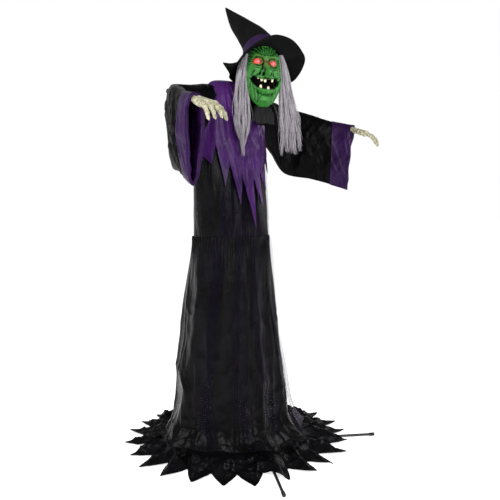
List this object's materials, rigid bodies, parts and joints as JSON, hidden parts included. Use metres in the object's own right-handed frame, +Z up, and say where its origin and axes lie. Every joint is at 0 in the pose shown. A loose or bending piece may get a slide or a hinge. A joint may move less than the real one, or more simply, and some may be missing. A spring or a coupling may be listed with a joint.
{
  "type": "animated witch figure",
  "caption": "Life-size standing animated witch: turning head, hinged jaw, swinging arms, long robe with pointed hem, tube stand.",
  "frame": {"origin": "on the floor, centre of the base hub underside", "axes": "+Z up; the figure faces -Y; its own left hand is towards +X"},
  "size_m": [1.4278, 1.1402, 2.1301],
  "materials": {
    "frame_steel": "black powder coat",
    "black_plastic": "moulded",
    "foot_rubber": "matte",
    "screw_steel": "zinc",
    "board": "solder mask",
    "cell_wrap": "printed wrap, plain",
    "switch_plastic": "moulded",
    "snap_steel": "spring steel",
    "black_satin": "satin",
    "purple_satin": "satin",
    "black_crinkle": "crinkled",
    "hat_felt": "matte",
    "green_latex": "painted latex with dark creases",
    "tooth": "painted",
    "eye_lens": "tinted, lit from behind",
    "bone_paint": "hand painted",
    "grey_hair": "synthetic fibre"
  },
  "bodies": {
    "root": {"base_hub": "black_plastic", "torso_shell_front": "black_plastic", "torso_shell_rear": "black_plastic", "control_box": "black_plastic", "speaker": "black_plastic", "head_gearmotor": "black_plastic", "arm_gearmotor_left": "black_plastic", "arm_gearmotor_right": "black_plastic", "leg_front_left": "frame_steel", "leg_front_right": "frame_steel", "leg_rear_left": "frame_steel", "leg_rear_right": "frame_steel", "pole_lower": "frame_steel", "pole_middle": "frame_steel", "pole_upper": "frame_steel", "neck_tube": "frame_steel", "foot_caps": "foot_rubber", "torso_screws": "screw_steel", "control_board": "board", "battery_cells": "cell_wrap", "lower_robe": "black_satin", "upper_robe": "black_satin", "hem_train": "black_satin", "tunic": "purple_satin", "neck_cowl": "black_crinkle"},
    "head": {"head_plate": "black_plastic", "skull_shell": "black_plastic", "mask_face": "green_latex", "teeth_upper": "tooth", "eye_left": "eye_lens", "eye_right": "eye_lens", "eye_lamp_board": "board", "jaw_motor": "black_plastic", "jaw_pins": "screw_steel", "hair_left": "grey_hair", "hair_right": "grey_hair", "hood": "black_crinkle", "hat_crown": "hat_felt", "hat_band": "purple_satin", "hat_brim": "hat_felt"},
    "jaw": {"jaw": "green_latex", "jaw_bracket": "black_plastic", "teeth_lower": "tooth"},
    "left_arm": {"upper_arm_tube_left": "frame_steel", "forearm_tube_left": "frame_steel", "sleeve_left": "black_satin", "cuff_left": "purple_satin", "hand_left": "bone_paint"},
    "right_arm": {"upper_arm_tube_right": "frame_steel", "forearm_tube_right": "frame_steel", "sleeve_right": "black_satin", "cuff_right": "purple_satin", "hand_right": "bone_paint"},
    "lower_snap": {"snap_button_lower": "snap_steel"},
    "upper_snap": {"snap_button_upper": "snap_steel"},
    "battery_door": {"battery_door": "black_plastic"},
    "power_switch": {"power_switch": "switch_plastic"}
  },
  "joints": [
    {"name": "head_turn", "type": "hinge", "parent": "root", "child": "head", "pos_m": [0, -0.005, 1.69], "axis": [0, 0, 1], "range_deg": [0, 80]},
    {"name": "jaw_close", "type": "hinge", "parent": "head", "child": "jaw", "pos_m": [-0.02275, -0.03027, 1.738], "axis": [-0.7431, 0.6691, 0], "range_deg": [0, 8]},
    {"name": "left_arm_swing", "type": "hinge", "parent": "root", "child": "left_arm", "pos_m": [0.114, 0.165, 1.692], "axis": [-1, 0, 0], "range_deg": [-12, 12]},
    {"name": "right_arm_swing", "type": "hinge", "parent": "root", "child": "right_arm", "pos_m": [-0.114, 0.165, 1.692], "axis": [-1, 0, 0], "range_deg": [-12, 12]},
    {"name": "lower_snap_press", "type": "slide", "parent": "root", "child": "lower_snap", "axis": [-1, 0, 0], "range_m": [0, 0.0035], "stiffness_N_per_m": 700, "springref_m": -0.002},
    {"name": "upper_snap_press", "type": "slide", "parent": "root", "child": "upper_snap", "axis": [-1, 0, 0], "range_m": [0, 0.0035], "stiffness_N_per_m": 700, "springref_m": -0.002},
    {"name": "battery_door_slide", "type": "slide", "parent": "root", "child": "battery_door", "axis": [0, -0.0939, -0.9956], "range_m": [0, 0.03]},
    {"name": "power_switch_slide", "type": "slide", "parent": "root", "child": "power_switch", "axis": [0, 0.0939, 0.9956], "range_m": [-0.003, 0.003]}
  ]
}
